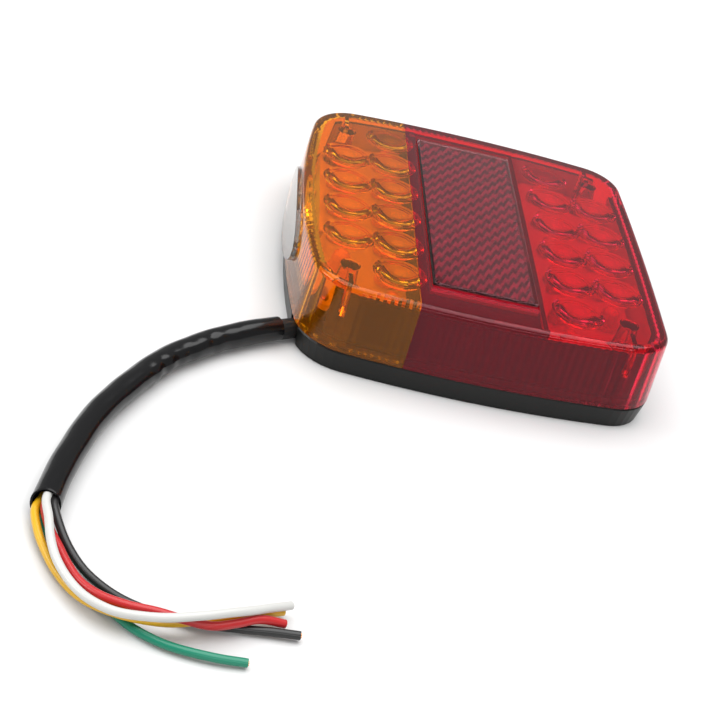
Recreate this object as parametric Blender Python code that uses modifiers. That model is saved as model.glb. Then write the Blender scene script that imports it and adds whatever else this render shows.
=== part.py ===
"""Combination tail lamp for a trailer: amber, reflex and red zones in one flat housing.

The lamp lies on its back: X runs from the amber end to the red end, Y runs up the lens and
Z points out of the lens. The back of the housing's rim is the plane Z = 0, and the lead lies
on that plane. Lengths are in metres.
"""
import math

import bmesh
import bpy
from mathutils import Matrix, Vector

# Driving dimensions
WIDTH = 0.098            # lens across X, at the middle of its sides
HEIGHT = 0.107           # lens across Y, at the middle of its ends
FACE_Z = 0.0240          # outer face of the lens
RIM_TOP_Z = 0.0058       # top of the housing's visible rim
GAP = 0.0003             # clearance kept between touching pieces
SMOOTH_BELOW = math.radians(32)

# Outline: four bowed sides joined by round corners
AMBER_SIDE_BOW = 0.258   # radius of the amber side, which also holds the plate window
RED_SIDE_BOW = 1.400     # radius of the red side, nearly straight
END_BOW = 0.290          # radius of the two long ends
AMBER_CORNER = 0.015
RED_CORNER = 0.0125
SIDE_STEPS = 5           # segments in half of a bowed side
CORNER_STEPS = 8         # segments in a corner

# Lens
WALL = 0.0022
FACE_THICKNESS = 0.0025
FACE_EDGE_RADIUS = 0.0016
LENS_DRAFT = 0.0009      # how far the wall leans in from its foot to the face
LENS_FOOT_Z = RIM_TOP_Z + GAP
COLOUR_SPLIT_X = -0.0182
BOSS_RADIUS = 0.0032
BOSS_FOOT_Z = 0.0091
BOSS_PLACES = {"amber": (-0.0355, 0.0380), "red": (0.0372, 0.0380)}
RIB_THICKNESS = 0.0012
RIB_FOOT_Z = 0.0145

# Reflex reflector, let into the red lens and raised above it
REFLECTOR_X = (-0.0150, 0.0128)
REFLECTOR_HALF_Y = 0.0412
REFLECTOR_Z = (0.0209, 0.0249)
REFLECTOR_EDGE = 0.0008

# Number-plate window in the amber side wall, an ellipse across Y and Z
WINDOW_HALF_Y = 0.0225
WINDOW_HALF_Z = 0.0078
WINDOW_Z = 0.0142
WINDOW_PROUD = 0.0011

# Housing
RIM_TAPER = 0.0010       # the rim narrows towards its back face
RIM_FLOOR = 0.0042       # inner edge of the rim's flat back face
SPIGOT = 0.0040          # inset of the spigot that the lens fits over
PLATE_Z = (0.0068, 0.0088)
SCREW_HOLE_RADIUS = 0.0017
INSERT_PLACES = ((-0.022, 0.0), (0.022, 0.0))
INSERT_RADIUS = 0.0030
INSERT_BORE = 0.0021
INSERT_BOSS_RADIUS = 0.0060
INSERT_TOP_Z = 0.0062

# Circuit board and light sources
BOARD_Z = (0.0110, 0.0126)
BOARD_INSET = 0.0058
LED_PITCH = 0.0150
LED_COLUMNS = {"amber": {"outer": -0.0355, "inner": -0.0230},
               "red": {"outer": 0.0365, "inner": 0.0236}}
LED_RADIUS = 0.0025
LED_HEIGHT = 0.0050
PLATE_BOARD_X = (-0.0427, -0.0417)
PLATE_LED_ROWS = (-0.0165, -0.0055, 0.0055, 0.0165)
PLATE_LED_Z = 0.0165
BAFFLE_X = ((-0.0176, -0.0164), (0.0139, 0.0151))
BAFFLE_HALF_Y = 0.0490
TRAY_WALL = (0.0035, 0.0048)      # inset of the upstanding wall's outer and inner faces
TRAY_Z = (0.0091, 0.0206)
TRAY_RING_TOP_Z = 0.0104         # height of the ring that runs on past the open corners

# Lead: a sleeve that leaves the rim, then five loose wires
SLEEVE_DIAMETER = 0.0064
WIRE_DIAMETER = 0.0018
NOZZLE_RADIUS = 0.0026
NOZZLE_Z = 0.0030
LEAD_EXIT = Vector((-0.0489, -0.0421, 0.0))
LEAD_HEADING = math.radians(211.0)

# Grommet that seals the lead where it passes into the base
GROMMET_X = -0.0335
GROMMET_Y = -0.0270
GROMMET_NECK = 0.0030
GROMMET_HALF = 0.0045


# ---------------------------------------------------------------- helpers
def clear_scene():
    for obj in list(bpy.data.objects):
        bpy.data.objects.remove(obj, do_unlink=True)


def make_collection(name):
    collection = bpy.data.collections.new(name)
    bpy.context.scene.collection.children.link(collection)
    return collection


def material(name, colour, roughness, metallic=0.0, alpha=1.0):
    mat = bpy.data.materials.get(name)
    if mat is None:
        mat = bpy.data.materials.new(name)
        mat.use_nodes = True
        shader = mat.node_tree.nodes["Principled BSDF"]
        shader.inputs["Base Color"].default_value = (*colour, 1.0)
        shader.inputs["Roughness"].default_value = roughness
        shader.inputs["Metallic"].default_value = metallic
        shader.inputs["Alpha"].default_value = alpha
    return mat


def add_object(name, bm, mat, collection):
    """Turn a bmesh into an object with outward normals, smooth except at real edges."""
    bmesh.ops.recalc_face_normals(bm, faces=bm.faces)
    mesh = bpy.data.meshes.new(name)
    bm.to_mesh(mesh)
    bm.free()
    mesh.polygons.foreach_set("use_smooth", [True] * len(mesh.polygons))
    mesh.set_sharp_from_angle(angle=SMOOTH_BELOW)
    obj = bpy.data.objects.new(name, mesh)
    if mat is not None:
        mesh.materials.append(mat)
    collection.objects.link(obj)
    return obj


def cutter(name, bm):
    obj = add_object(name, bm, None, CUTTERS)
    obj.hide_render = True
    obj.display_type = "WIRE"
    return obj


def boolean(obj, other, operation):
    mod = obj.modifiers.new(other.name, "BOOLEAN")
    mod.object = other
    mod.operation = operation
    mod.solver = "EXACT"


def add_box(bm, low, high):
    size = Vector(high) - Vector(low)
    centre = (Vector(high) + Vector(low)) / 2
    place = Matrix.Translation(centre) @ Matrix.Diagonal((*size, 1.0))
    return bmesh.ops.create_cube(bm, size=1.0, matrix=place)["verts"]


def box(low, high):
    bm = bmesh.new()
    add_box(bm, low, high)
    return bm


def add_cylinder(bm, x, y, radius, z_low, z_high, segments=16):
    place = Matrix.Translation((x, y, (z_low + z_high) / 2))
    bmesh.ops.create_cone(bm, cap_ends=True, segments=segments, radius1=radius, radius2=radius,
                          depth=z_high - z_low, matrix=place)


def cylinder(x, y, radius, z_low, z_high, segments=16):
    bm = bmesh.new()
    add_cylinder(bm, x, y, radius, z_low, z_high, segments)
    return bm


def turned(name, profile, mat, steps=12):
    """Turn a profile of (radius, height) points, listed from top to bottom, about Z."""
    bm = bmesh.new()
    points = [bm.verts.new((radius, 0.0, height)) for radius, height in profile]
    for first, second in zip(points, points[1:]):
        bm.edges.new((first, second))
    mesh = bpy.data.meshes.new(name)
    bm.to_mesh(mesh)
    bm.free()
    mesh.materials.append(mat)
    obj = bpy.data.objects.new(name, mesh)
    LAMP.objects.link(obj)
    screw = obj.modifiers.new("turn", "SCREW")
    screw.steps = steps
    screw.render_steps = steps
    screw.use_merge_vertices = True
    screw.merge_threshold = 0.00001
    screw.use_smooth_shade = True
    return obj


# ---------------------------------------------------------------- outline
def tangent_centre(first, first_radius, second, second_radius):
    """Point at the given distances from two centres, on the side away from the origin."""
    step = second - first
    along = (first_radius ** 2 - second_radius ** 2 + step.length_squared) / (2 * step.length)
    across = math.sqrt(first_radius ** 2 - along ** 2)
    direction = step.normalized()
    normal = Vector((-direction.y, direction.x))
    places = [first + direction * along + normal * side * across for side in (1, -1)]
    return max(places, key=lambda place: place.x + place.y)


def arc(centre, radius, start, end, steps):
    return [centre + radius * Vector((math.cos(a), math.sin(a)))
            for a in (start + (end - start) * k / steps for k in range(steps + 1))]


def quarter_outline(inset, side_bow, corner):
    """Points from the middle of a side, round its corner, to the middle of the end."""
    side_radius = side_bow - inset
    end_radius = END_BOW - inset
    corner_radius = corner - inset
    side_centre = Vector((WIDTH / 2 - side_bow, 0.0))
    end_centre = Vector((0.0, HEIGHT / 2 - END_BOW))
    centre = tangent_centre(side_centre, side_radius - corner_radius,
                            end_centre, end_radius - corner_radius)
    side_angle = math.atan2(centre.y - side_centre.y, centre.x - side_centre.x)
    end_angle = math.atan2(centre.y - end_centre.y, centre.x - end_centre.x)
    side = arc(side_centre, side_radius, 0.0, side_angle, SIDE_STEPS)
    turn = arc(centre, corner_radius, side_angle, end_angle, CORNER_STEPS)
    end = arc(end_centre, end_radius, end_angle, math.pi / 2, SIDE_STEPS)
    return side + turn[1:] + end[1:]


def outline(inset):
    """The lamp's closed outline, moved in by inset, anticlockwise from the red side."""
    red = quarter_outline(inset, RED_SIDE_BOW, RED_CORNER)
    amber = quarter_outline(inset, AMBER_SIDE_BOW, AMBER_CORNER)
    upper_amber = [Vector((-p.x, p.y)) for p in reversed(amber)]
    lower_amber = [Vector((-p.x, -p.y)) for p in amber]
    lower_red = [Vector((p.x, -p.y)) for p in reversed(red)]
    return red + upper_amber[1:] + lower_amber[1:] + lower_red[1:-1]


def add_ring(bm, inset, z):
    return [bm.verts.new((p.x, p.y, z)) for p in outline(inset)]


def join_rings(bm, first, second):
    count = len(first)
    for k in range(count):
        after = (k + 1) % count
        bm.faces.new((first[k], first[after], second[after], second[k]))


def slab(sections):
    """A solid through (inset, z) sections of the outline, from bottom to top."""
    bm = bmesh.new()
    rings = [add_ring(bm, inset, z) for inset, z in sections]
    for lower, upper in zip(rings, rings[1:]):
        join_rings(bm, lower, upper)
    bm.faces.new(rings[0])
    bm.faces.new(rings[-1])
    return bm


def cup(outside, inside):
    """A shell open at the bottom, through sections listed from its foot to its closed top."""
    bm = bmesh.new()
    outer = [add_ring(bm, inset, z) for inset, z in outside]
    inner = [add_ring(bm, inset, z) for inset, z in inside]
    for rings in (outer, inner):
        for lower, upper in zip(rings, rings[1:]):
            join_rings(bm, lower, upper)
        bm.faces.new(rings[-1])
    join_rings(bm, outer[0], inner[0])
    return bm


def band(sections):
    """A closed ring of material whose section is the given loop of (inset, z) points."""
    bm = bmesh.new()
    rings = [add_ring(bm, inset, z) for inset, z in sections]
    for first, second in zip(rings, rings[1:] + rings[:1]):
        join_rings(bm, first, second)
    return bm


# ---------------------------------------------------------------- lens
def lens_sections(extra=0.0):
    """Outside sections of the lens wall and its rounded face edge."""
    turn_z = FACE_Z - FACE_EDGE_RADIUS
    sections = [(-extra, LENS_FOOT_Z), (LENS_DRAFT - extra, turn_z)]
    for angle in (math.radians(a) for a in (30, 60, 90)):
        inset = LENS_DRAFT + FACE_EDGE_RADIUS * (1 - math.cos(angle)) - extra
        sections.append((inset, turn_z + FACE_EDGE_RADIUS * math.sin(angle)))
    return sections


def lens_shell():
    ceiling = FACE_Z - FACE_THICKNESS
    inside = [(WALL, LENS_FOOT_Z), (WALL + LENS_DRAFT, ceiling - 0.0008),
              (WALL + LENS_DRAFT + 0.0008, ceiling)]
    return cup(lens_sections(), inside)


def ellipse_prism(half_y, half_z, x_low, x_high, segments=32):
    bm = bmesh.new()
    turn = Matrix.Rotation(math.radians(90), 4, "Y")
    place = Matrix.Translation(((x_low + x_high) / 2, 0.0, WINDOW_Z))
    bmesh.ops.create_cone(bm, cap_ends=True, segments=segments, radius1=1.0, radius2=1.0,
                          depth=x_high - x_low, matrix=turn)
    bmesh.ops.transform(bm, matrix=place @ Matrix.Diagonal((1.0, half_y, half_z, 1.0)),
                        verts=bm.verts)
    return bm


def add_bosses(lens, zone):
    """Screw pillars under the face, each tied to the nearest end wall by a rib."""
    x, y = BOSS_PLACES[zone]
    root_z = FACE_Z - FACE_THICKNESS + 0.0010
    for side, label in ((1, "upper"), (-1, "lower")):
        pillar = cutter(f"cut_{zone}_{label}_pillar",
                        cylinder(x, side * y, BOSS_RADIUS, BOSS_FOOT_Z, root_z))
        boolean(lens, pillar, "UNION")
        near = side * (y + BOSS_RADIUS * 0.6)
        far = side * (HEIGHT / 2 - 0.0040)
        rib = cutter(f"cut_{zone}_{label}_rib",
                     box((x - RIB_THICKNESS / 2, min(near, far), RIB_FOOT_Z),
                         (x + RIB_THICKNESS / 2, max(near, far), root_z)))
        boolean(lens, rib, "UNION")
        bore = cutter(f"cut_{zone}_{label}_bore",
                      cylinder(x, side * y, SCREW_HOLE_RADIUS, BOSS_FOOT_Z - 0.001, 0.0190, 12))
        boolean(lens, bore, "DIFFERENCE")


def make_lenses():
    reach = 0.1
    amber = add_object("lens_amber", lens_shell(),
                       material("amber_lens", (0.95, 0.33, 0.02), 0.08, alpha=0.55), LAMP)
    boolean(amber, cutter("cut_amber_half", box((COLOUR_SPLIT_X - GAP / 2, -reach, -reach),
                                                (reach, reach, reach))), "DIFFERENCE")
    red = add_object("lens_red", lens_shell(),
                     material("red_lens", (0.62, 0.01, 0.03), 0.08, alpha=0.6), LAMP)
    boolean(red, cutter("cut_red_half", box((-reach, -reach, -reach),
                                            (COLOUR_SPLIT_X + GAP / 2, reach, reach))),
            "DIFFERENCE")
    add_bosses(amber, "amber")
    add_bosses(red, "red")
    window_hole = ellipse_prism(WINDOW_HALF_Y + GAP, WINDOW_HALF_Z + GAP, -0.060, -0.044)
    boolean(amber, cutter("cut_window_hole", window_hole), "DIFFERENCE")
    opening = box((REFLECTOR_X[0] - GAP, -REFLECTOR_HALF_Y - GAP, 0.020),
                  (REFLECTOR_X[1] + GAP, REFLECTOR_HALF_Y + GAP, 0.030))
    boolean(red, cutter("cut_reflector_hole", opening), "DIFFERENCE")


def make_window():
    """Clear window for the number-plate lights, standing slightly proud of the wall."""
    inside = [(inset + WINDOW_PROUD + WALL, z) for inset, z in lens_sections(WINDOW_PROUD)[:2]]
    outside = [(-WINDOW_PROUD, LENS_FOOT_Z - 0.002), (LENS_DRAFT - WINDOW_PROUD, FACE_Z)]
    shell = cup(outside, [(inside[0][0], LENS_FOOT_Z - 0.002), (inside[1][0], FACE_Z - 0.0005)])
    window = add_object("number_plate_window", shell,
                        material("clear_lens", (0.90, 0.92, 0.92), 0.06, alpha=0.35), LAMP)
    shape = ellipse_prism(WINDOW_HALF_Y, WINDOW_HALF_Z, -0.060, -0.040)
    boolean(window, cutter("cut_window_shape", shape), "INTERSECT")


def make_reflector():
    bm = bmesh.new()
    add_box(bm, (REFLECTOR_X[0], -REFLECTOR_HALF_Y, REFLECTOR_Z[0]),
            (REFLECTOR_X[1], REFLECTOR_HALF_Y, REFLECTOR_Z[1]))
    top = [e for e in bm.edges if all(v.co.z > REFLECTOR_Z[1] - 1e-5 for v in e.verts)]
    bmesh.ops.bevel(bm, geom=top, offset=REFLECTOR_EDGE, segments=2, profile=0.5,
                    affect="EDGES")
    add_object("reflex_reflector", bm, material("reflector_red", (0.45, 0.01, 0.05), 0.12), LAMP)


def make_baffle():
    """Opaque tray: a box under the reflector that parts the two colours, inside a wall
    that stands behind the ends and the red side and is open at the corners."""
    top = FACE_Z - FACE_THICKNESS - GAP
    foot = BOARD_Z[1] + GAP
    baffle = add_object("light_baffle",
                        box((BAFFLE_X[0][0], -BAFFLE_HALF_Y, foot),
                            (BAFFLE_X[1][1], BAFFLE_HALF_Y, top)),
                        material("black_plastic", (0.02, 0.02, 0.02), 0.5), LAMP)
    wall = band([(inset, z) for inset, z in zip(TRAY_WALL + TRAY_WALL[::-1],
                                                (TRAY_Z[0], TRAY_Z[0], TRAY_Z[1], TRAY_Z[1]))])
    boolean(baffle, cutter("cut_tray_wall", wall), "UNION")
    far = 0.060
    open_amber = box((-far, -far, TRAY_RING_TOP_Z), (-0.0385, far, 0.030))
    boolean(baffle, cutter("cut_tray_amber_side", open_amber), "DIFFERENCE")
    for side, label in ((1, "upper"), (-1, "lower")):
        near, away = sorted((side * 0.037, side * far))
        corner = box((0.0405, near, TRAY_RING_TOP_Z), (far, away, 0.030))
        boolean(baffle, cutter(f"cut_tray_{label}_corner", corner), "DIFFERENCE")
        for zone, (x, y) in BOSS_PLACES.items():
            reach = RIB_THICKNESS / 2 + GAP
            near, away = sorted((side * y, side * far))
            slot = box((x - reach, near, RIB_FOOT_Z - GAP), (x + reach, away, 0.030))
            boolean(baffle, cutter(f"cut_tray_{zone}_{label}_slot", slot), "DIFFERENCE")
    inner_x = (BAFFLE_X[0][1], BAFFLE_X[1][0])
    hollow = box((inner_x[0], -BAFFLE_HALF_Y + 0.0015, foot - 0.001),
                 (inner_x[1], BAFFLE_HALF_Y - 0.0015, 0.0191))
    boolean(baffle, cutter("cut_baffle_hollow", hollow), "DIFFERENCE")
    tray = box((inner_x[0], -BAFFLE_HALF_Y + 0.0015, 0.0203),
               (inner_x[1], BAFFLE_HALF_Y - 0.0015, 0.030))
    boolean(baffle, cutter("cut_baffle_tray", tray), "DIFFERENCE")


# ---------------------------------------------------------------- housing
def lead_frame():
    """Matrix with its X axis along the lead as it leaves the rim."""
    return Matrix.Translation(LEAD_EXIT) @ Matrix.Rotation(LEAD_HEADING, 4, "Z")


def make_housing():
    outside = [(RIM_TAPER, 0.0), (0.0001, RIM_TOP_Z - 0.0004), (0.0004, RIM_TOP_Z),
               (SPIGOT, RIM_TOP_Z), (SPIGOT, PLATE_Z[1])]
    inside = [(RIM_FLOOR, 0.0), (SPIGOT + 0.0009, PLATE_Z[0])]
    housing = add_object("base_housing", cup(outside, inside),
                         material("black_housing", (0.03, 0.032, 0.03), 0.42), LAMP)
    for number, (x, y) in enumerate(INSERT_PLACES, 1):
        boss = cylinder(x, y, INSERT_BOSS_RADIUS, 0.0, PLATE_Z[0] + 0.0005, 24)
        boolean(housing, cutter(f"cut_insert_boss_{number}", boss), "UNION")
        hole = cylinder(x, y, INSERT_RADIUS + GAP, -0.001, INSERT_TOP_Z + GAP, 24)
        boolean(housing, cutter(f"cut_insert_hole_{number}", hole), "DIFFERENCE")
    for zone, (x, y) in BOSS_PLACES.items():
        for side, label in ((1, "upper"), (-1, "lower")):
            hole = cylinder(x, side * y, SCREW_HOLE_RADIUS, 0.005, 0.012, 12)
            boolean(housing, cutter(f"cut_{zone}_{label}_screw_hole", hole), "DIFFERENCE")
    neck = cylinder(GROMMET_X, GROMMET_Y, GROMMET_NECK + GAP, 0.005, 0.012, 20)
    boolean(housing, cutter("cut_grommet_hole", neck), "DIFFERENCE")
    notch = box((-0.0125, -NOZZLE_RADIUS - GAP, -0.001),
                (0.010, NOZZLE_RADIUS + GAP, RIM_TOP_Z + 0.001))
    bmesh.ops.transform(notch, matrix=lead_frame(), verts=notch.verts)
    boolean(housing, cutter("cut_lead_notch", notch), "DIFFERENCE")


def make_seal():
    foot = LENS_FOOT_Z
    seal = band([(WALL + 0.0004, foot), (SPIGOT - GAP, foot),
                 (SPIGOT - GAP, foot + 0.0016), (WALL + 0.0005, foot + 0.0016)])
    add_object("lens_seal", seal, material("seal_rubber", (0.05, 0.05, 0.05), 0.8), LAMP)


def make_inserts():
    brass = material("brass", (0.78, 0.57, 0.24), 0.35, 1.0)
    for number, (x, y) in enumerate(INSERT_PLACES, 1):
        insert = add_object(f"mounting_insert_{number}",
                            cylinder(x, y, INSERT_RADIUS, 0.0003, INSERT_TOP_Z, 20), brass, LAMP)
        bore = cylinder(x, y, INSERT_BORE, -0.001, 0.010, 16)
        boolean(insert, cutter(f"cut_insert_bore_{number}", bore), "DIFFERENCE")


def make_screws():
    """Self-tapping screws that pull the lens down from behind."""
    steel = material("zinc_steel", (0.62, 0.62, 0.60), 0.35, 1.0)
    number = 0
    for x, y in BOSS_PLACES.values():
        for side in (1, -1):
            number += 1
            profile = [(0.0, 0.0180), (0.0008, 0.0172), (0.0013, 0.0160),
                       (0.0013, PLATE_Z[0] - GAP), (0.0029, PLATE_Z[0] - GAP),
                       (0.0029, 0.0056), (0.0019, 0.0048), (0.0, 0.0046)]
            screw = turned(f"lens_screw_{number}", profile, steel)
            screw.location = (x, side * y, 0.0)


# ---------------------------------------------------------------- circuit
def make_board():
    board = add_object("circuit_board",
                       slab([(BOARD_INSET, BOARD_Z[0]), (BOARD_INSET, BOARD_Z[1])]),
                       material("board_white", (0.75, 0.77, 0.74), 0.45), LAMP)
    for zone, (x, y) in BOSS_PLACES.items():
        for side, label in ((1, "upper"), (-1, "lower")):
            hole = cylinder(x, side * y, BOSS_RADIUS + 0.0005, 0.009, 0.015, 16)
            boolean(board, cutter(f"cut_{zone}_{label}_board_hole", hole), "DIFFERENCE")


def led_profile(foot):
    body = foot + LED_HEIGHT - LED_RADIUS * 0.8
    dome = [(LED_RADIUS * math.sin(a), body + LED_RADIUS * 0.8 * math.cos(a))
            for a in (math.radians(30 * k) for k in range(4))]
    return dome + [(LED_RADIUS, foot + 0.0010), (LED_RADIUS + 0.0004, foot + 0.0010),
                   (LED_RADIUS + 0.0004, foot), (0.0, foot)]


def make_leds():
    """Ten light sources a zone: the outer column gives up its end places to the pillars."""
    foot = BOARD_Z[1] + GAP
    colours = {"amber": (0.95, 0.55, 0.15), "red": (0.75, 0.08, 0.08)}
    for zone, columns in LED_COLUMNS.items():
        mat = material(f"led_{zone}", colours[zone], 0.15)
        number = 0
        for column, rows in (("outer", 4), ("inner", 6)):
            for row in range(rows):
                number += 1
                led = turned(f"led_{zone}_{number:02d}", led_profile(foot), mat, steps=10)
                led.location = (columns[column], ((rows - 1) / 2 - row) * LED_PITCH, 0.0)


def make_plate_lights():
    foot = BOARD_Z[1] + GAP
    add_object("plate_light_board", box((PLATE_BOARD_X[0], -0.0205, foot),
                                        (PLATE_BOARD_X[1], 0.0205, 0.0203)),
               material("board_white", (0.75, 0.77, 0.74), 0.45), LAMP)
    white = material("led_white", (0.92, 0.92, 0.85), 0.15)
    profile = [(0.0, 0.0022), (0.0008, 0.0020), (0.0013, 0.0014), (0.0015, 0.0008),
               (0.0015, 0.0), (0.0, 0.0)]
    for number, y in enumerate(PLATE_LED_ROWS, 1):
        led = turned(f"plate_led_{number}", profile, white, steps=10)
        led.rotation_euler = (0.0, math.radians(-90), 0.0)
        led.location = (PLATE_BOARD_X[0] - GAP, y, PLATE_LED_Z)


def make_small_parts():
    """Dropping resistors and blocking diodes, on the board inside the baffle."""
    foot = BOARD_Z[1] + GAP
    body = material("resistor_body", (0.55, 0.42, 0.28), 0.5)
    for number in range(1, 5):
        y = (2.5 - number) * 0.012
        resistor = turned(f"dropping_resistor_{number}",
                          [(0.0, 0.0033), (0.0009, 0.0032), (0.0012, 0.0026), (0.0010, 0.0018),
                           (0.0010, -0.0018), (0.0012, -0.0026), (0.0009, -0.0032),
                           (0.0, -0.0033)], body, steps=10)
        resistor.rotation_euler = (0.0, math.radians(90), 0.0)
        resistor.location = (-0.006, y, foot + 0.0013)
    black = material("diode_body", (0.03, 0.03, 0.03), 0.4)
    for number in range(1, 3):
        y = (1.5 - number) * 0.014
        diode = turned(f"blocking_diode_{number}",
                       [(0.0, 0.0026), (0.0013, 0.0026), (0.0013, -0.0026), (0.0, -0.0026)],
                       black, steps=10)
        diode.rotation_euler = (0.0, math.radians(90), 0.0)
        diode.location = (0.006, y, foot + 0.0014)


# ---------------------------------------------------------------- lead
def make_grommet():
    """Elbow grommet: a block in the recess and a neck up through the back plate."""
    rubber = material("rubber", (0.025, 0.025, 0.025), 0.7)
    top = PLATE_Z[0] - GAP
    grommet = add_object("cable_grommet",
                         box((GROMMET_X - GROMMET_HALF, GROMMET_Y - GROMMET_HALF, 0.0006),
                             (GROMMET_X + GROMMET_HALF, GROMMET_Y + GROMMET_HALF, top)),
                         rubber, LAMP)
    neck = cylinder(GROMMET_X, GROMMET_Y, GROMMET_NECK, top - 0.001, 0.0098, 20)
    boolean(grommet, cutter("cut_grommet_neck", neck), "UNION")


def make_nozzle():
    """Short round nozzle that carries the lead out through the notch in the rim."""
    bm = bmesh.new()
    turn = Matrix.Rotation(math.radians(90), 4, "Y")
    place = lead_frame() @ Matrix.Translation((-0.0058, 0.0, NOZZLE_Z)) @ turn
    bmesh.ops.create_cone(bm, cap_ends=True, segments=16, radius1=NOZZLE_RADIUS,
                          radius2=NOZZLE_RADIUS, depth=0.0116, matrix=place)
    add_object("cable_gland", bm, material("rubber", (0.025, 0.025, 0.025), 0.7), LAMP)


def smooth_route(knots, spacing):
    """Catmull-Rom curve through the knots, with a point about every spacing metres."""
    points = [Vector(k) for k in knots]
    padded = [2 * points[0] - points[1]] + points + [2 * points[-1] - points[-2]]
    route = []
    for a, b, c, d in zip(padded, padded[1:], padded[2:], padded[3:]):
        steps = max(1, round((c - b).length / spacing))
        for k in range(steps):
            t = k / steps
            route.append(0.5 * (2 * b + (c - a) * t + (2 * a - 5 * b + 4 * c - d) * t * t
                                + (3 * b - a - 3 * c + d) * t ** 3))
    return route + [points[-1]]


def tube(name, knots, diameter, mat, resolution):
    curve = bpy.data.curves.new(name, "CURVE")
    curve.dimensions = "3D"
    curve.bevel_depth = diameter / 2
    curve.bevel_resolution = resolution
    curve.use_fill_caps = True
    route = smooth_route(knots, 2.5 * diameter)
    spline = curve.splines.new("POLY")
    spline.points.add(len(route) - 1)
    for point, place in zip(spline.points, route):
        point.co = (*place, 1.0)
    curve.materials.append(mat)
    obj = bpy.data.objects.new(name, curve)
    LAMP.objects.link(obj)
    return obj


def make_lead():
    """The sleeve and five wires, lying on the plane that the lamp lies on."""
    height = SLEEVE_DIAMETER / 2 + GAP
    start = LEAD_EXIT + Vector((math.cos(LEAD_HEADING), math.sin(LEAD_HEADING), 0)) * GAP
    sleeve = [(start.x, start.y, height), (-0.0560, -0.0468, height), (-0.0640, -0.0532, height),
              (-0.0706, -0.0600, height), (-0.0768, -0.0682, height), (-0.0840, -0.0820, height),
              (-0.0886, -0.0935, height), (-0.0915, -0.1050, height), (-0.0934, -0.1150, height),
              (-0.0946, -0.1253, height)]
    tube("cable_sleeve", sleeve, SLEEVE_DIAMETER,
         material("sleeve_pvc", (0.012, 0.012, 0.013), 0.25), 4)
    routes = {
        "white": [(-0.0946, -0.1263, 0.0055), (-0.0933, -0.1316, 0.0055), (-0.0920, -0.1370, 0.0048),
                  (-0.0899, -0.1420, 0.0042), (-0.0868, -0.1466, 0.0038), (-0.0829, -0.1505, 0.0040),
                  (-0.0781, -0.1532, 0.0046), (-0.0728, -0.1543, 0.0055), (-0.0674, -0.1540, 0.0061),
                  (-0.0620, -0.1525, 0.0064), (-0.0571, -0.1502, 0.0061), (-0.0523, -0.1474, 0.0053),
                  (-0.0479, -0.1443, 0.0042), (-0.0437, -0.1410, 0.0028)],
        "red": [(-0.0946, -0.1263, 0.0035), (-0.0930, -0.1315, 0.0034), (-0.0905, -0.1364, 0.0033),
                (-0.0879, -0.1411, 0.0031), (-0.0848, -0.1455, 0.0031), (-0.0804, -0.1489, 0.0037),
                (-0.0754, -0.1508, 0.0044), (-0.0701, -0.1518, 0.0050), (-0.0647, -0.1522, 0.0046),
                (-0.0593, -0.1516, 0.0036), (-0.0545, -0.1494, 0.0033), (-0.0496, -0.1467, 0.0030),
                (-0.0446, -0.1453, 0.0016)],
        "black": [(-0.0928, -0.1263, 0.0045), (-0.0908, -0.1314, 0.0036), (-0.0880, -0.1362, 0.0024),
                  (-0.0844, -0.1405, 0.0016), (-0.0800, -0.1440, 0.0012), (-0.0750, -0.1466, 0.0011),
                  (-0.0696, -0.1481, 0.0011), (-0.0640, -0.1488, 0.0011), (-0.0583, -0.1487, 0.0011),
                  (-0.0526, -0.1482, 0.0011), (-0.0470, -0.1477, 0.0012), (-0.0414, -0.1474, 0.0013)],
        "green": [(-0.0945, -0.1263, 0.0014), (-0.0931, -0.1319, 0.0012), (-0.0902, -0.1370, 0.0011),
                  (-0.0867, -0.1416, 0.0011), (-0.0827, -0.1457, 0.0011), (-0.0783, -0.1495, 0.0011),
                  (-0.0738, -0.1531, 0.0011), (-0.0686, -0.1557, 0.0012), (-0.0630, -0.1570, 0.0013),
                  (-0.0572, -0.1574, 0.0013), (-0.0514, -0.1571, 0.0011)],
        "yellow": [(-0.0964, -0.1263, 0.0025), (-0.0950, -0.1319, 0.0023), (-0.0927, -0.1371, 0.0019),
                   (-0.0897, -0.1420, 0.0015), (-0.0861, -0.1464, 0.0015), (-0.0818, -0.1500, 0.0023),
                   (-0.0767, -0.1522, 0.0031), (-0.0709, -0.1525, 0.0030), (-0.0653, -0.1514, 0.0028),
                   (-0.0600, -0.1495, 0.0031), (-0.0547, -0.1471, 0.0031), (-0.0498, -0.1444, 0.0023),
                   (-0.0450, -0.1413, 0.0011)],
    }
    colours = {"white": (0.90, 0.90, 0.88), "black": (0.03, 0.03, 0.03),
               "red": (0.75, 0.06, 0.05), "yellow": (0.85, 0.60, 0.05),
               "green": (0.02, 0.35, 0.24)}
    for colour, knots in routes.items():
        tube(f"wire_{colour}", knots, WIRE_DIAMETER,
             material(f"wire_{colour}", colours[colour], 0.35), 2)


# ---------------------------------------------------------------- build
clear_scene()
LAMP = make_collection("trailer_tail_light")
CUTTERS = make_collection("cutters")
make_housing()
make_lenses()
make_window()
make_reflector()
make_baffle()
make_seal()
make_inserts()
make_screws()
make_board()
make_leds()
make_plate_lights()
make_small_parts()
make_grommet()
make_nozzle()
make_lead()
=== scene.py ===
"""Looks of the combination tail lamp: lens optics, reflector prisms, wiring and finishes."""

import math

import bmesh
import bpy
from mathutils import Matrix, Vector


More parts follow.
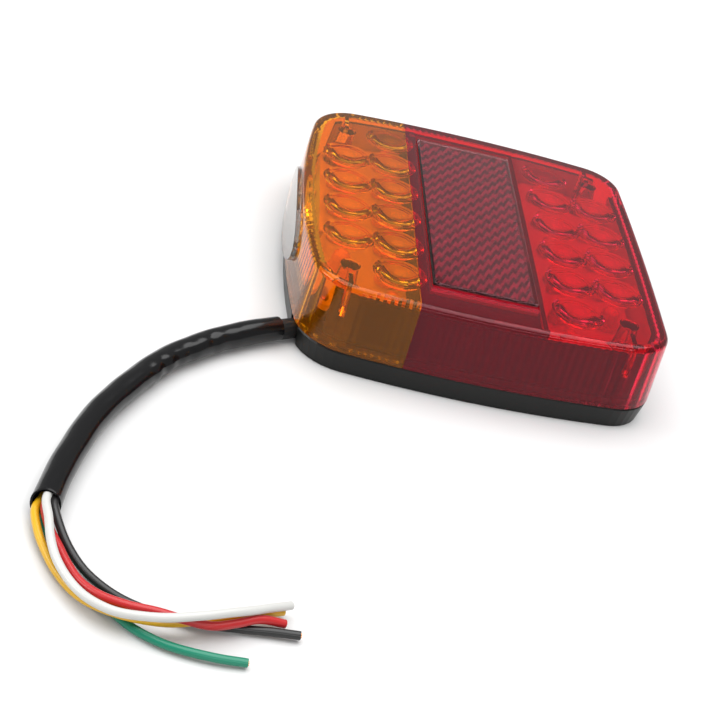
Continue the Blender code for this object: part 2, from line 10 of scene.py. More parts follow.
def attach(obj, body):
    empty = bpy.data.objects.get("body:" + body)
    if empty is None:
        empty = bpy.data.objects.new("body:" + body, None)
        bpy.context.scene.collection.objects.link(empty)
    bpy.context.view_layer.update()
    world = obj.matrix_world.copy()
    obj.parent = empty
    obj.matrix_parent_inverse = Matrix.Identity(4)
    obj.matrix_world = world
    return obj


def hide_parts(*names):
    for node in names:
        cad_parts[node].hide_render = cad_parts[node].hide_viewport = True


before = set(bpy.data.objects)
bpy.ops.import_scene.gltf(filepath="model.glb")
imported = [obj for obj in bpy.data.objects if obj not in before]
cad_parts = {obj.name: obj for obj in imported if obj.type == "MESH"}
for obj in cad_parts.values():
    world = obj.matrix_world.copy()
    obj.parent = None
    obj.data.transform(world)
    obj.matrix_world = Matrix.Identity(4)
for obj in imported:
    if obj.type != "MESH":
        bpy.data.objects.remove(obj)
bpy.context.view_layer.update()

# Lens, as in the CAD
WIDTH = 0.098
HEIGHT = 0.107
FACE_Z = 0.0240
AMBER_SIDE_BOW = 0.258
RED_SIDE_BOW = 1.400
END_BOW = 0.290
AMBER_CORNER = 0.015
RED_CORNER = 0.0125
LENS_FOOT_Z = 0.0061
LENS_DRAFT = 0.0009
FACE_EDGE_RADIUS = 0.0016
WALL = 0.0022
FACE_THICKNESS = 0.0025
CEILING_Z = FACE_Z - FACE_THICKNESS + 0.0008
RELIEF_ROOT_Z = 0.0230
COLOUR_SPLIT_X = -0.0182
REFLECTOR_X = (-0.0150, 0.0128)
REFLECTOR_HALF_Y = 0.0412
REFLECTOR_TOP = 0.0249
REFLECTOR_BACK_Z = (0.0209, 0.0216)
REFLECTOR_RIM_Z = (0.0217, 0.02355)
REFLECTOR_RIM_WALL = 0.0004
COVER_FOOT_Z = 0.0236
PRISM_FOOT_Z = 0.0219
PRISM_PITCH = 0.00145
PRISM_ROW_ANGLE = math.radians(56)
WINDOW_HALF_Y = 0.0225
WINDOW_HALF_Z = 0.0078
WINDOW_Z = 0.0142
WINDOW_PROUD = 0.0011
BOSS_PLACES = {"amber": (-0.0355, 0.0380), "red": (0.0372, 0.0380)}
LED_PITCH = 0.0150
LED_COLUMNS = {"amber": {"outer": -0.0355, "inner": -0.0230},
               "red": {"outer": 0.0365, "inner": 0.0236}}

# Lead, as in the CAD
SLEEVE_DIAMETER = 0.0064
WIRE_DIAMETER = 0.0018


# ---------------------------------------------------------------- camera, light and floor
def make_camera():
    right = Vector((0.967244, -0.018158, 0.253197))
    up = Vector((-0.201403, 0.552245, 0.808988))
    back = Vector((-0.154517, -0.833484, 0.530499))
    camera = bpy.data.cameras.new("camera")
    camera.sensor_width = 36.0
    camera.lens = 77.98
    camera.clip_start = 0.02
    obj = bpy.data.objects.new("camera", camera)
    turn = Matrix((right, up, back)).transposed().to_4x4()
    obj.matrix_world = Matrix.Translation((-0.08776, -0.37028, 0.20801)) @ turn
    bpy.context.scene.collection.objects.link(obj)
    bpy.context.scene.camera = obj


def add_light(name, place, target, size, power, colour=(1.0, 1.0, 1.0)):
    light = bpy.data.lights.new(name, "AREA")
    light.shape = "RECTANGLE"
    light.size, light.size_y = size
    light.energy = power
    light.color = colour
    obj = bpy.data.objects.new(name, light)
    obj.location = place
    obj.rotation_euler = (Vector(target) - Vector(place)).to_track_quat("-Z", "Y").to_euler()
    bpy.context.scene.collection.objects.link(obj)


def make_studio():
    floor = new_object("floor", grid_mesh(3.0))
    floor.location = (0.0, 0.0, -0.0002)
    mat = shader_material("floor_white", (0.66, 0.66, 0.66), 0.9)
    floor.data.materials.append(mat)
    world = bpy.data.worlds.new("studio")
    world.use_nodes = True
    world.node_tree.nodes["Background"].inputs["Color"].default_value = (1.0, 1.0, 1.0, 1.0)
    world.node_tree.nodes["Background"].inputs["Strength"].default_value = 0.42
    bpy.context.scene.world = world
    bpy.context.scene.view_settings.view_transform = "Standard"
    target = (-0.01, -0.03, 0.01)
    add_light("overhead", (0.0, 0.05, 1.00), target, (1.30, 1.30), 18.0)
    add_light("left", (-0.85, -0.10, 0.45), target, (0.50, 0.30), 3.0)
    add_light("front", (0.20, -0.85, 0.42), target, (0.70, 0.20), 1.6)


def grid_mesh(size):
    bm = bmesh.new()
    bmesh.ops.create_grid(bm, x_segments=1, y_segments=1, size=size / 2)
    return bm


# ---------------------------------------------------------------- shared helpers
def new_object(name, bm, smooth=None):
    """An object from a bmesh, smooth across edges flatter than the given angle in degrees."""
    mesh = bpy.data.meshes.new(name)
    bm.to_mesh(mesh)
    bm.free()
    if smooth is not None:
        mesh.polygons.foreach_set("use_smooth", [True] * len(mesh.polygons))
        mesh.set_sharp_from_angle(angle=math.radians(smooth))
    obj = bpy.data.objects.new(name, mesh)
    bpy.context.scene.collection.objects.link(obj)
    return obj


def shader_material(name, colour, roughness, **settings):
    mat = bpy.data.materials.new(name)
    mat.use_nodes = True
    shader = mat.node_tree.nodes["Principled BSDF"]
    shader.inputs["Base Color"].default_value = (*colour, 1.0)
    shader.inputs["Roughness"].default_value = roughness
    for key, value in settings.items():
        shader.inputs[key.replace("_", " ").title().replace("Ior", "IOR")].default_value = value
    return mat


def add_bump(mat, scale, distance):
    """Fine noise relief in object space, the same from every side."""
    nodes, links = mat.node_tree.nodes, mat.node_tree.links
    shader = nodes["Principled BSDF"]
    coords = nodes.new("ShaderNodeTexCoord")
    noise = nodes.new("ShaderNodeTexNoise")
    noise.inputs["Scale"].default_value = scale
    noise.inputs["Detail"].default_value = 2.0
    bump = nodes.new("ShaderNodeBump")
    bump.inputs["Strength"].default_value = 1.0
    bump.inputs["Distance"].default_value = distance
    links.new(coords.outputs["Object"], noise.inputs["Vector"])
    links.new(noise.outputs["Fac"], bump.inputs["Height"])
    links.new(bump.outputs["Normal"], shader.inputs["Normal"])
    return mat


def finish_piece(obj, mat, *replaced):
    obj.data.materials.clear()
    obj.data.materials.append(mat)
    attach(obj, "root")
    if replaced:
        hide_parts(*replaced)
    return obj


def smooth_route(knots, spacing):
    """Catmull-Rom curve through the knots, with a point about every spacing metres."""
    points = [Vector(k) for k in knots]
    padded = [2 * points[0] - points[1]] + points + [2 * points[-1] - points[-2]]
    route = []
    for a, b, c, d in zip(padded, padded[1:], padded[2:], padded[3:]):
        steps = max(1, round((c - b).length / spacing))
        for k in range(steps):
            t = k / steps
            route.append(0.5 * (2 * b + (c - a) * t + (2 * a - 5 * b + 4 * c - d) * t * t
                                + (3 * b - a - 3 * c + d) * t ** 3))
    return route + [points[-1]]


def route_frames(route):
    """(point, side, lift, distance) along a route, turning as little as possible."""
    frames = []
    lift = Vector((0.0, 0.0, 1.0))
    travelled = 0.0
    for k, point in enumerate(route):
        ahead = route[min(k + 1, len(route) - 1)] - route[max(k - 1, 0)]
        heading = ahead.normalized()
        side = heading.cross(lift).normalized()
        lift = side.cross(heading).normalized()
        if k:
            travelled += (point - route[k - 1]).length
        frames.append((point, side, lift, travelled))
    return frames


def tube_rings(bm, frames, radius, segments):
    """Rings of vertices round a route; radius(distance, angle) gives their shape."""
    rings = []
    for point, side, lift, travelled in frames:
        ring = []
        for k in range(segments):
            angle = 2 * math.pi * k / segments
            reach = radius(travelled, angle)
            ring.append(bm.verts.new(point + side * math.cos(angle) * reach
                                     + lift * math.sin(angle) * reach))
        rings.append(ring)
    return rings


def bridge(bm, rings):
    for first, second in zip(rings, rings[1:]):
        count = len(first)
        for k in range(count):
            after = (k + 1) % count
            bm.faces.new((first[k], first[after], second[after], second[k]))


# ---------------------------------------------------------------- lead
SLEEVE_ROUTE = [(-0.04916, -0.04225, 0.0035), (-0.0560, -0.0468, 0.0035),
                (-0.0640, -0.0532, 0.0035), (-0.0706, -0.0600, 0.0035),
                (-0.0768, -0.0682, 0.0035), (-0.0840, -0.0820, 0.0035),
                (-0.0886, -0.0935, 0.0035), (-0.0915, -0.1050, 0.0035),
                (-0.0934, -0.1150, 0.0035), (-0.0946, -0.1253, 0.0035)]


def make_sleeve():
    """Thin-walled sleeve, wrinkled on the inside of its bend, with an open flared end."""
    route = smooth_route(SLEEVE_ROUTE, 0.0007)
    frames = route_frames(route)
    length = frames[-1][3]
    outer = SLEEVE_DIAMETER / 2
    wall = 0.00045

    def outside(travelled, angle):
        inner_side = 0.5 - 0.5 * math.cos(angle)
        bend = math.exp(-((travelled - 0.030) / 0.017) ** 2)
        wrinkle = math.sin(travelled * 780 + 1.6 * math.sin(travelled * 310) + math.cos(angle))
        crease = math.sin(travelled * 1330 + 1.0 - 2 * math.cos(angle))
        slack = 0.00003 * math.sin(travelled * 600 + 2 * angle)
        flare = 0.00012 * max(0.0, 1 - (length - travelled) / 0.006) ** 2
        squeeze = 0.00022 * bend * (0.5 - 0.5 * math.cos(2 * angle))
        folds = bend * inner_side ** 1.5 * (0.00016 * wrinkle + 0.00008 * crease)
        tuck = 0.00016 * max(0.0, 1 - travelled / 0.006)
        return outer - 0.00010 + folds - squeeze + slack + flare - tuck

    def inside(travelled, angle):
        return outside(travelled, angle) - wall

    bm = bmesh.new()
    outer_rings = tube_rings(bm, frames, outside, 36)
    deep = [f for f in frames if f[3] > length - 0.012]
    inner_rings = tube_rings(bm, deep, inside, 36)
    bridge(bm, outer_rings)
    bridge(bm, list(reversed(inner_rings)))
    bridge(bm, [outer_rings[-1], inner_rings[-1]])
    bm.faces.new(outer_rings[0])
    bm.faces.new(inner_rings[0])
    # The end is cut at a slant, so that its lower lip reaches further out
    end, side, lift, _ = frames[-1]
    heading = (route[-1] - route[-4]).normalized()
    for ring in (outer_rings[-1], inner_rings[-1]):
        for vert in ring:
            offset = vert.co - end
            vert.co -= heading * (offset.dot(lift) * 0.38 + offset.dot(side) * 0.12)
    bmesh.ops.recalc_face_normals(bm, faces=bm.faces)
    sleeve = new_object("sleeve", bm, 60)
    mat = add_bump(shader_material("sleeve_black", (0.003, 0.003, 0.0035), 0.18,
                                   specular_ior_level=0.32), 420.0, 0.00002)
    finish_piece(sleeve, mat, "cable_sleeve")
    return sleeve


WIRE_ROUTES = {
    "white": [(-0.0946, -0.1263, 0.0055), (-0.0933, -0.1316, 0.0055), (-0.0920, -0.1370, 0.0048),
              (-0.0899, -0.1420, 0.0042), (-0.0868, -0.1466, 0.0038), (-0.0829, -0.1505, 0.0040),
              (-0.0781, -0.1532, 0.0046), (-0.0728, -0.1543, 0.0055), (-0.0674, -0.1540, 0.0061),
              (-0.0620, -0.1525, 0.0064), (-0.0571, -0.1502, 0.0061), (-0.0523, -0.1474, 0.0053),
              (-0.0479, -0.1443, 0.0042), (-0.0437, -0.1410, 0.0028)],
    "red": [(-0.0946, -0.1263, 0.0035), (-0.0930, -0.1315, 0.0034), (-0.0905, -0.1364, 0.0033),
            (-0.0879, -0.1411, 0.0031), (-0.0848, -0.1455, 0.0031), (-0.0804, -0.1489, 0.0037),
            (-0.0754, -0.1508, 0.0044), (-0.0701, -0.1518, 0.0050), (-0.0647, -0.1522, 0.0046),
            (-0.0593, -0.1516, 0.0036), (-0.0545, -0.1494, 0.0033), (-0.0496, -0.1467, 0.0030),
            (-0.0446, -0.1453, 0.0016)],
    "black": [(-0.0928, -0.1263, 0.0045), (-0.0908, -0.1314, 0.0036), (-0.0880, -0.1362, 0.0024),
              (-0.0844, -0.1405, 0.0016), (-0.0800, -0.1440, 0.0012), (-0.0750, -0.1466, 0.0011),
              (-0.0696, -0.1481, 0.0011), (-0.0640, -0.1488, 0.0011), (-0.0583, -0.1487, 0.0011),
              (-0.0526, -0.1482, 0.0011), (-0.0470, -0.1477, 0.0012), (-0.0414, -0.1474, 0.0013)],
    "green": [(-0.0945, -0.1263, 0.0014), (-0.0931, -0.1319, 0.0012), (-0.0902, -0.1370, 0.0011),
              (-0.0867, -0.1416, 0.0011), (-0.0827, -0.1457, 0.0011), (-0.0783, -0.1495, 0.0011),
              (-0.0738, -0.1531, 0.0011), (-0.0686, -0.1557, 0.0012), (-0.0630, -0.1570, 0.0013),
              (-0.0572, -0.1574, 0.0013), (-0.0514, -0.1571, 0.0011)],
    "yellow": [(-0.0964, -0.1263, 0.0025), (-0.0950, -0.1319, 0.0023), (-0.0927, -0.1371, 0.0019),
               (-0.0897, -0.1420, 0.0015), (-0.0861, -0.1464, 0.0015), (-0.0818, -0.1500, 0.0023),
               (-0.0767, -0.1522, 0.0031), (-0.0709, -0.1525, 0.0030), (-0.0653, -0.1514, 0.0028),
               (-0.0600, -0.1495, 0.0031), (-0.0547, -0.1471, 0.0031), (-0.0498, -0.1444, 0.0023),
               (-0.0450, -0.1413, 0.0011)],
}
SLEEVE_MOUTH = Vector((-0.0946, -0.1263, 0.0035))
SLEEVE_HEADING = Vector((-0.0012, -0.0103, 0.0)).normalized()
WIRE_COLOURS = {"white": (0.54, 0.54, 0.52), "black": (0.012, 0.012, 0.012),
                "red": (0.44, 0.012, 0.014), "yellow": (0.68, 0.38, 0.01),
                "green": (0.002, 0.19, 0.11)}


def make_wire(colour, knots):
    """One insulated wire, with the ends of its copper strands showing."""
    first = Vector(knots[0])
    hidden = first.lerp(SLEEVE_MOUTH, 0.3) - SLEEVE_HEADING * 0.0045
    route = smooth_route([hidden, *knots], 0.0008)
    frames = route_frames(route)
    outer = WIRE_DIAMETER / 2

    def skin(travelled, angle):
        return outer + 0.000015 * math.sin(travelled * 700 + angle)

    bm = bmesh.new()
    rings = tube_rings(bm, frames, skin, 16)
    bridge(bm, rings)
    bm.faces.new(rings[0])
    bm.faces.new(rings[-1])
    bmesh.ops.recalc_face_normals(bm, faces=bm.faces)
    wire = new_object(f"lead_{colour}", bm, 50)
    mat = shader_material(f"insulation_{colour}", WIRE_COLOURS[colour], 0.32)
    finish_piece(wire, mat, f"wire_{colour}")
    point, side, lift, travelled = frames[-1]
    heading = (route[-1] - route[-2]).normalized()
    strands = bmesh.new()
    turn = heading.to_track_quat("Z", "Y").to_matrix().to_4x4()
    offsets = [(0.0, 0.0)] + [(0.00036 * math.cos(k * math.pi / 3), 0.00036 * math.sin(k * math.pi / 3))
                              for k in range(6)]
    for x, y in offsets:
        place = Matrix.Translation(point) @ turn @ Matrix.Translation((x, y, 0.0))
        bmesh.ops.create_cone(strands, cap_ends=True, segments=8, radius1=0.00018,
                              radius2=0.00016, depth=0.0005, matrix=place)
    core = new_object(f"strands_{colour}", strands, 40)
    finish_piece(core, COPPER)


# ---------------------------------------------------------------- lens outline
def tangent_centre(first, first_radius, second, second_radius):
    step = second - first
    along = (first_radius ** 2 - second_radius ** 2 + step.length_squared) / (2 * step.length)
    across = math.sqrt(first_radius ** 2 - along ** 2)
    direction = step.normalized()
    normal = Vector((-direction.y, direction.x))
    places = [first + direction * along + normal * side * across for side in (1, -1)]
    return max(places, key=lambda place: place.x + place.y)


def arc(centre, radius, start, end, steps):
    return [centre + radius * Vector((math.cos(a), math.sin(a)))
            for a in (start + (end - start) * k / steps for k in range(steps + 1))]


def quarter_outline(inset, side_bow, corner, side_steps, corner_steps):
    side_radius = side_bow - inset
    end_radius = END_BOW - inset
    corner_radius = corner - inset
    side_centre = Vector((WIDTH / 2 - side_bow, 0.0))
    end_centre = Vector((0.0, HEIGHT / 2 - END_BOW))
    centre = tangent_centre(side_centre, side_radius - corner_radius,
                            end_centre, end_radius - corner_radius)
    side_angle = math.atan2(centre.y - side_centre.y, centre.x - side_centre.x)
    end_angle = math.atan2(centre.y - end_centre.y, centre.x - end_centre.x)
    side = arc(side_centre, side_radius, 0.0, side_angle, side_steps)
    turn = arc(centre, corner_radius, side_angle, end_angle, corner_steps)
    end = arc(end_centre, end_radius, end_angle, math.pi / 2, side_steps)
    return side + turn[1:] + end[1:]


def outline(inset, side_steps=12, corner_steps=14):
    """The lamp's closed outline, moved in by inset, anticlockwise from the red side."""
    steps = (side_steps, corner_steps)
    red = quarter_outline(inset, RED_SIDE_BOW, RED_CORNER, *steps)
    amber = quarter_outline(inset, AMBER_SIDE_BOW, AMBER_CORNER, *steps)
    upper_amber = [Vector((-p.x, p.y)) for p in reversed(amber)]
    lower_amber = [Vector((-p.x, -p.y)) for p in amber]
    lower_red = [Vector((p.x, -p.y)) for p in reversed(red)]
    return red + upper_amber[1:] + lower_amber[1:] + lower_red[1:-1]


def cup(outside, inside, flute=0.0, **steps):
    """A shell open at the bottom; flute deepens every second point of the inner wall."""
    bm = bmesh.new()
    shells = []
    for sections, ridge in ((outside, 0.0), (inside, flute)):
        rings = []
        for inset, z in sections:
            near = outline(inset, **steps)
            far = outline(inset + ridge, **steps)
            ring = [bm.verts.new((*(far[k] if k % 2 else near[k]), z)) for k in range(len(near))]
            rings.append(ring)
        bridge(bm, rings)
        bm.faces.new(rings[-1])
        shells.append(rings)
    bridge(bm, [shells[0][0], shells[1][0]])
    bmesh.ops.recalc_face_normals(bm, faces=bm.faces)
    return bm


def lens_sections(extra=0.0):
    turn_z = FACE_Z - FACE_EDGE_RADIUS
    sections = [(-extra, LENS_FOOT_Z), (LENS_DRAFT - extra, turn_z)]
    for angle in (math.radians(a) for a in (15, 30, 45, 60, 75, 90)):
        inset = LENS_DRAFT + FACE_EDGE_RADIUS * (1 - math.cos(angle)) - extra
        sections.append((inset, turn_z + FACE_EDGE_RADIUS * math.sin(angle)))
    return sections


def boolean(obj, bm, operation):
    other = new_object("tool", bm)
    mod = obj.modifiers.new("cut", "BOOLEAN")
    mod.object = other
    mod.operation = operation
    mod.solver = "EXACT"
    mod.use_self = operation == "UNION"
    graph = bpy.context.evaluated_depsgraph_get()
    mesh = bpy.data.meshes.new_from_object(obj.evaluated_get(graph))
    obj.modifiers.clear()
    obj.data = mesh
    bpy.data.objects.remove(other)


def box(low, high):
    bm = bmesh.new()
    size = Vector(high) - Vector(low)
    centre = (Vector(high) + Vector(low)) / 2
    bmesh.ops.create_cube(bm, size=1.0,
                          matrix=Matrix.Translation(centre) @ Matrix.Diagonal((*size, 1.0)))
    return bm


def ellipse_prism(half_y, half_z, x_low, x_high, segments=72):
    bm = bmesh.new()
    turn = Matrix.Rotation(math.radians(90), 4, "Y")
    place = Matrix.Translation(((x_low + x_high) / 2, 0.0, WINDOW_Z))
    bmesh.ops.create_cone(bm, cap_ends=True, segments=segments, radius1=1.0, radius2=1.0,
                          depth=x_high - x_low, matrix=turn)
    bmesh.ops.transform(bm, matrix=place @ Matrix.Diagonal((1.0, half_y, half_z, 1.0)),
                        verts=bm.verts)
    return bm


def smooth_by_angle(obj, angle):
    mesh = obj.data
    mesh.polygons.foreach_set("use_smooth", [True] * len(mesh.polygons))
    mesh.set_sharp_from_angle(angle=math.radians(angle))


def led_places(zone):
    columns = LED_COLUMNS[zone]
    for column, rows in (("outer", 4), ("inner", 6)):
        for row in range(rows):
            yield columns[column], ((rows - 1) / 2 - row) * LED_PITCH


# ---------------------------------------------------------------- lens
def lens_shell():
    ceiling = CEILING_Z
    inside = [(WALL, LENS_FOOT_Z), (WALL + LENS_DRAFT, ceiling - 0.0008),
              (WALL + LENS_DRAFT + 0.0008, ceiling)]
    return cup(lens_sections(), inside, flute=0.00035, side_steps=36, corner_steps=10)


def add_lathe(bm, x, y, profile, steps):
    """A turned solid at (x, y), from a profile that starts and ends on its axis."""
    rings = []
    for radius, z in profile:
        if radius == 0.0:
            rings.append([bm.verts.new((x, y, z))])
        else:
            angles = [2 * math.pi * k / steps for k in range(steps)]
            rings.append([bm.verts.new((x + radius * math.cos(a), y + radius * math.sin(a), z))
                          for a in angles])
    for lower, upper in zip(rings, rings[1:]):
        for k in range(steps):
            after = (k + 1) % steps
            if len(lower) == 1:
                bm.faces.new((lower[0], upper[after], upper[k]))
            elif len(upper) == 1:
                bm.faces.new((lower[k], lower[after], upper[0]))
            else:
                bm.faces.new((lower[k], lower[after], upper[after], upper[k]))


def moulded_relief(zone):
    """What stands out from the inside of the face: optics and screw pillars."""
    bm = bmesh.new()
    root = RELIEF_ROOT_Z
    ceiling = CEILING_Z
    optic = [(0.0, ceiling - 0.0024), (0.0014, ceiling - 0.0023), (0.0028, ceiling - 0.0019),
             (0.0040, ceiling - 0.0012), (0.0050, ceiling - 0.0004), (0.0050, ceiling - 0.0011),
             (0.0060, ceiling - 0.0004), (0.0060, ceiling - 0.0010), (0.0070, ceiling + 0.0001),
             (0.0070, root), (0.0, root)]
    for x, y in led_places(zone):
        add_lathe(bm, x, y, optic, 48)
    x, y = BOSS_PLACES[zone]
    pillar = [(0.0, 0.0180), (0.0013, 0.0180), (0.0013, 0.0091), (0.0034, 0.0091),
              (0.0033, 0.0140), (0.0023, ceiling - 0.0006), (0.0026, ceiling), (0.0026, root),
              (0.0, root)]
    for side in (1, -1):
        add_lathe(bm, x, side * y, pillar, 40)
    bmesh.ops.recalc_face_normals(bm, faces=bm.faces)
    return bm


def make_lens(zone, mat):
    lens = new_object(f"{zone}_shell", lens_shell())
    far = 0.1
    half_gap = 0.00002
    if zone == "amber":
        boolean(lens, box((COLOUR_SPLIT_X - half_gap, -far, -far), (far, far, far)), "DIFFERENCE")
        boolean(lens, ellipse_prism(WINDOW_HALF_Y, WINDOW_HALF_Z, -0.060, -0.044), "DIFFERENCE")
    else:
        boolean(lens, box((-far, -far, -far), (COLOUR_SPLIT_X + half_gap, far, far)), "DIFFERENCE")
        boolean(lens, box((REFLECTOR_X[0] - 0.0001, -REFLECTOR_HALF_Y - 0.0001, 0.020),
                          (REFLECTOR_X[1] + 0.0001, REFLECTOR_HALF_Y + 0.0001, 0.030)),
                "DIFFERENCE")
    boolean(lens, moulded_relief(zone), "UNION")
    x, y = BOSS_PLACES[zone]
    for side in (1, -1):
        near, away = sorted((side * (y + 0.0015), side * 0.0497))
        boolean(lens, box((x - 0.0006, near, 0.0145), (x + 0.0006, away, 0.0226)), "UNION")
    smooth_by_angle(lens, 28)
    finish_piece(lens, mat, f"lens_{zone}")
    return lens


def make_window(mat):
    inside = [(-WINDOW_PROUD + WALL, 0.004), (LENS_DRAFT + WALL - WINDOW_PROUD, FACE_Z - 0.0005)]
    outside = [(-WINDOW_PROUD, 0.004), (LENS_DRAFT - WINDOW_PROUD, FACE_Z)]
    window = new_object("window_pane", cup(outside, inside, side_steps=24, corner_steps=8))
    boolean(window, ellipse_prism(WINDOW_HALF_Y, WINDOW_HALF_Z, -0.060, -0.040), "INTERSECT")
    smooth_by_angle(window, 30)
    bevel = window.modifiers.new("soft edge", "BEVEL")
    bevel.width = 0.0005
    bevel.segments = 3
    bevel.limit_method = "ANGLE"
    bevel.angle_limit = math.radians(50)
    finish_piece(window, mat, "number_plate_window")
    return window


# ---------------------------------------------------------------- reflector
def make_reflector(cover_mat, prism_mat, painted_shade_mat, rim_mat):
    """A raised tinted cover over rows of cube-corner prisms, with every second row painted a darker red
    as painted shade.
    """
    bm = box((REFLECTOR_X[0], -REFLECTOR_HALF_Y, COVER_FOOT_Z),
             (REFLECTOR_X[1], REFLECTOR_HALF_Y, REFLECTOR_TOP))
    rim = new_object("reflector_rim", box((REFLECTOR_X[0], -REFLECTOR_HALF_Y, REFLECTOR_RIM_Z[0]),
                                          (REFLECTOR_X[1], REFLECTOR_HALF_Y, REFLECTOR_RIM_Z[1])))
    wall = REFLECTOR_RIM_WALL
    boolean(rim, box((REFLECTOR_X[0] + wall, -REFLECTOR_HALF_Y + wall, 0.020),
                     (REFLECTOR_X[1] - wall, REFLECTOR_HALF_Y - wall, 0.030)), "DIFFERENCE")
    finish_piece(rim, rim_mat)
    top = [e for e in bm.edges if all(v.co.z > REFLECTOR_TOP - 1e-5 for v in e.verts)]
    bmesh.ops.bevel(bm, geom=top, offset=0.0009, segments=5, profile=0.5, affect="EDGES")
    cover = new_object("reflector_cover", bm, 35)
    finish_piece(cover, cover_mat, "reflex_reflector")
    cover.data.materials.append(rim_mat)
    for face in cover.data.polygons:
        if abs(face.normal.z) < 0.3:
            face.material_index = 1

    pitch = PRISM_PITCH
    step = pitch * 0.707 * 0.8
    slant = Matrix.Rotation(PRISM_ROW_ANGLE, 2)
    centre = Vector(((REFLECTOR_X[0] + REFLECTOR_X[1]) / 2, 0.0))
    half = Vector(((REFLECTOR_X[1] - REFLECTOR_X[0]) / 2 - 0.0004, REFLECTOR_HALF_Y - 0.0004))
    reach = int(0.046 / (pitch * 0.866)) + 2
    bm = bmesh.new()
    verts = {}
    for i in range(-reach * 2, reach * 2):
        for j in range(-reach, reach):
            flat = slant @ Vector(((i + 0.5 * j) * pitch, j * pitch * 0.866))
            if abs(flat.x) > half.x or abs(flat.y) > half.y:
                continue
            height = ((i - j) % 3) * step
            verts[i, j] = bm.verts.new((centre.x + flat.x, centre.y + flat.y, PRISM_FOOT_Z + height))
    for (i, j), vert in verts.items():
        for row, corner in ((j, ((i + 1, j), (i, j + 1))), (j - 1, ((i + 1, j - 1), (i + 1, j)))):
            others = [verts.get(c) for c in corner]
            if all(others):
                facet = bm.faces.new((vert, others[0], others[1]))
                # Every second row takes the darker red: painted shade standing in for facets turned
                # away from the light.
                facet.material_index = row % 2
    bmesh.ops.recalc_face_normals(bm, faces=bm.faces)
    prisms = new_object("reflector_prisms", bm)
    rows = [face.material_index for face in prisms.data.polygons]
    finish_piece(prisms, prism_mat)
    prisms.data.materials.append(painted_shade_mat)
    prisms.data.polygons.foreach_set("material_index", rows)
    back = new_object("reflector_back", box((REFLECTOR_X[0], -REFLECTOR_HALF_Y, REFLECTOR_BACK_Z[0]),
                                            (REFLECTOR_X[1], REFLECTOR_HALF_Y, REFLECTOR_BACK_Z[1])))
    finish_piece(back, prism_mat)


# ---------------------------------------------------------------- CAD nodes keep their shape
def whiten_inside(mat, outside):
    """White where a wall faces the middle of the lamp, and the outside colour elsewhere."""
    nodes, links = mat.node_tree.nodes, mat.node_tree.links
    coords = nodes.new("ShaderNodeTexCoord")
    facing = nodes.new("ShaderNodeVectorMath")
    facing.operation = "DOT_PRODUCT"
    inward = nodes.new("ShaderNodeMath")
    inward.operation = "LESS_THAN"
    inward.inputs[1].default_value = -0.01
    mix = nodes.new("ShaderNodeMix")
    mix.data_type = "RGBA"
    mix.inputs["A"].default_value = (*outside, 1.0)
    mix.inputs["B"].default_value = (0.80, 0.80, 0.78, 1.0)
    links.new(coords.outputs["Object"], facing.inputs[0])
    links.new(coords.outputs["Normal"], facing.inputs[1])
    links.new(facing.outputs["Value"], inward.inputs[0])
    links.new(inward.outputs[0], mix.inputs["Factor"])
    links.new(mix.outputs["Result"], nodes["Principled BSDF"].inputs["Base Color"])


def paint(prefix, mat):
    for name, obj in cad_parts.items():
        if name.startswith(prefix):
            for slot in obj.material_slots:
                slot.material = mat


COPPER = shader_material("copper", (0.78, 0.42, 0.24), 0.3, metallic=1.0)

make_camera()
make_studio()
make_sleeve()
for wire_colour, wire_knots in WIRE_ROUTES.items():
    make_wire(wire_colour, wire_knots)

AMBER = shader_material("amber_plastic", (1.0, 0.37, 0.004), 0.05, transmission_weight=0.95,
                        ior=1.49, specular_ior_level=0.2,
                        specular_tint=(0.9, 0.6, 0.4, 1.0))
RED = shader_material("red_plastic", (0.90, 0.012, 0.055), 0.05, transmission_weight=0.96,
                      ior=1.49, specular_ior_level=0.2,
                      specular_tint=(0.9, 0.45, 0.5, 1.0))
CLEAR = shader_material("clear_plastic", (0.95, 0.95, 0.94), 0.10, transmission_weight=1.0,
                        ior=1.49)
REFLEX_COVER = shader_material("reflex_cover", (0.92, 0.52, 0.58), 0.03,
                               transmission_weight=1.0, ior=1.49, specular_ior_level=0.15,
                               specular_tint=(0.9, 0.35, 0.4, 1.0))
REFLEX_PRISM = shader_material("reflex_prism", (0.42, 0.024, 0.070), 0.35)
# Darker copy of the prism red: painted shade on every second row of prism facets.
REFLEX_PAINTED_SHADE = shader_material("reflex_facet_painted_shade", (0.10, 0.004, 0.018), 0.35)
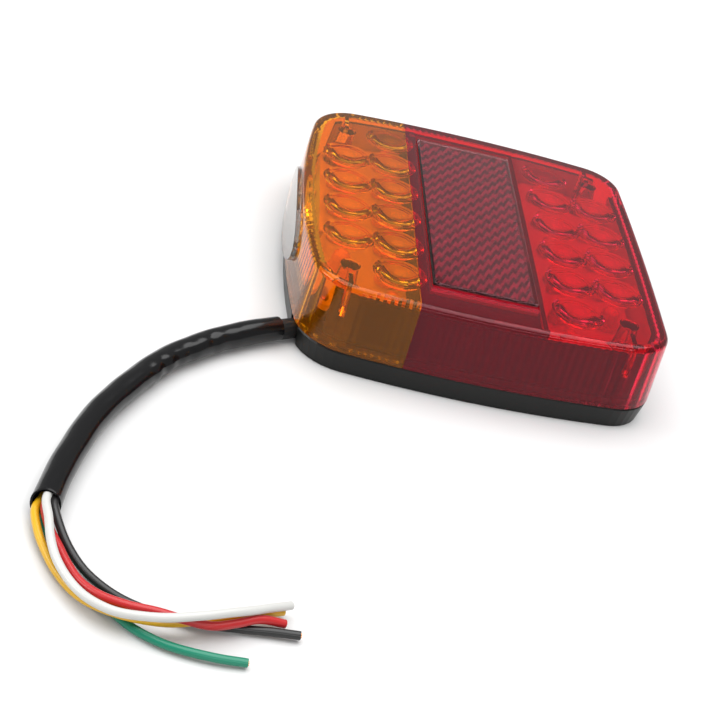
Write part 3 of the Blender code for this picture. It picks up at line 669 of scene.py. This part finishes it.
REFLEX_RIM = shader_material("reflex_rim", (0.36, 0.004, 0.012), 0.3)

make_lens("amber", AMBER)
make_lens("red", RED)
make_window(CLEAR)
make_reflector(REFLEX_COVER, REFLEX_PRISM, REFLEX_PAINTED_SHADE, REFLEX_RIM)

CAD_MATERIALS = (
    # node prefix, material name, colour, roughness, bump scale, bump depth, shader settings
    ("base_housing", "housing_black", (0.006, 0.0065, 0.006), 0.36, 1500.0, 0.00002,
     {"specular_ior_level": 0.28}),
    ("circuit_board", "solder_mask", (0.82, 0.83, 0.80), 0.45, 900.0, 0.00001, {}),
    ("plate_light_board", "solder_mask_side", (0.82, 0.83, 0.80), 0.45, 900.0, 0.00001, {}),
    ("light_baffle", "baffle_black", (0.008, 0.006, 0.006), 0.85, 1200.0, 0.00003,
     {"specular_ior_level": 0.1}),
    ("lens_seal", "seal_black", (0.012, 0.012, 0.012), 0.8, 1800.0, 0.00004, {}),
    ("led_amber", "epoxy_amber", (0.95, 0.45, 0.08), 0.15, 300.0, 0.00001, {}),
    ("led_red", "epoxy_red", (0.75, 0.06, 0.06), 0.15, 300.0, 0.00001, {}),
    ("plate_led", "epoxy_white", (0.90, 0.88, 0.70), 0.15, 300.0, 0.00001, {}),
    ("dropping_resistor", "lacquer_tan", (0.50, 0.36, 0.22), 0.40, 1400.0, 0.00002, {}),
    ("blocking_diode", "diode_black", (0.02, 0.02, 0.02), 0.35, 1400.0, 0.00001, {}),
    ("lens_screw", "zinc", (0.62, 0.62, 0.60), 0.32, 1600.0, 0.00001, {"metallic": 1.0}),
    ("mounting_insert", "brass_turned", (0.78, 0.56, 0.25), 0.28, 1600.0, 0.00001,
     {"metallic": 1.0}),
    ("cable_g", "rubber_black", (0.008, 0.008, 0.008), 0.50, 900.0, 0.00003,
     {"specular_ior_level": 0.3}),
)
for prefix, name, colour, roughness, scale, depth, settings in CAD_MATERIALS:
    mat = add_bump(shader_material(name, colour, roughness, **settings), scale, depth)
    if prefix == "light_baffle":
        whiten_inside(mat, colour)
    paint(prefix, mat)
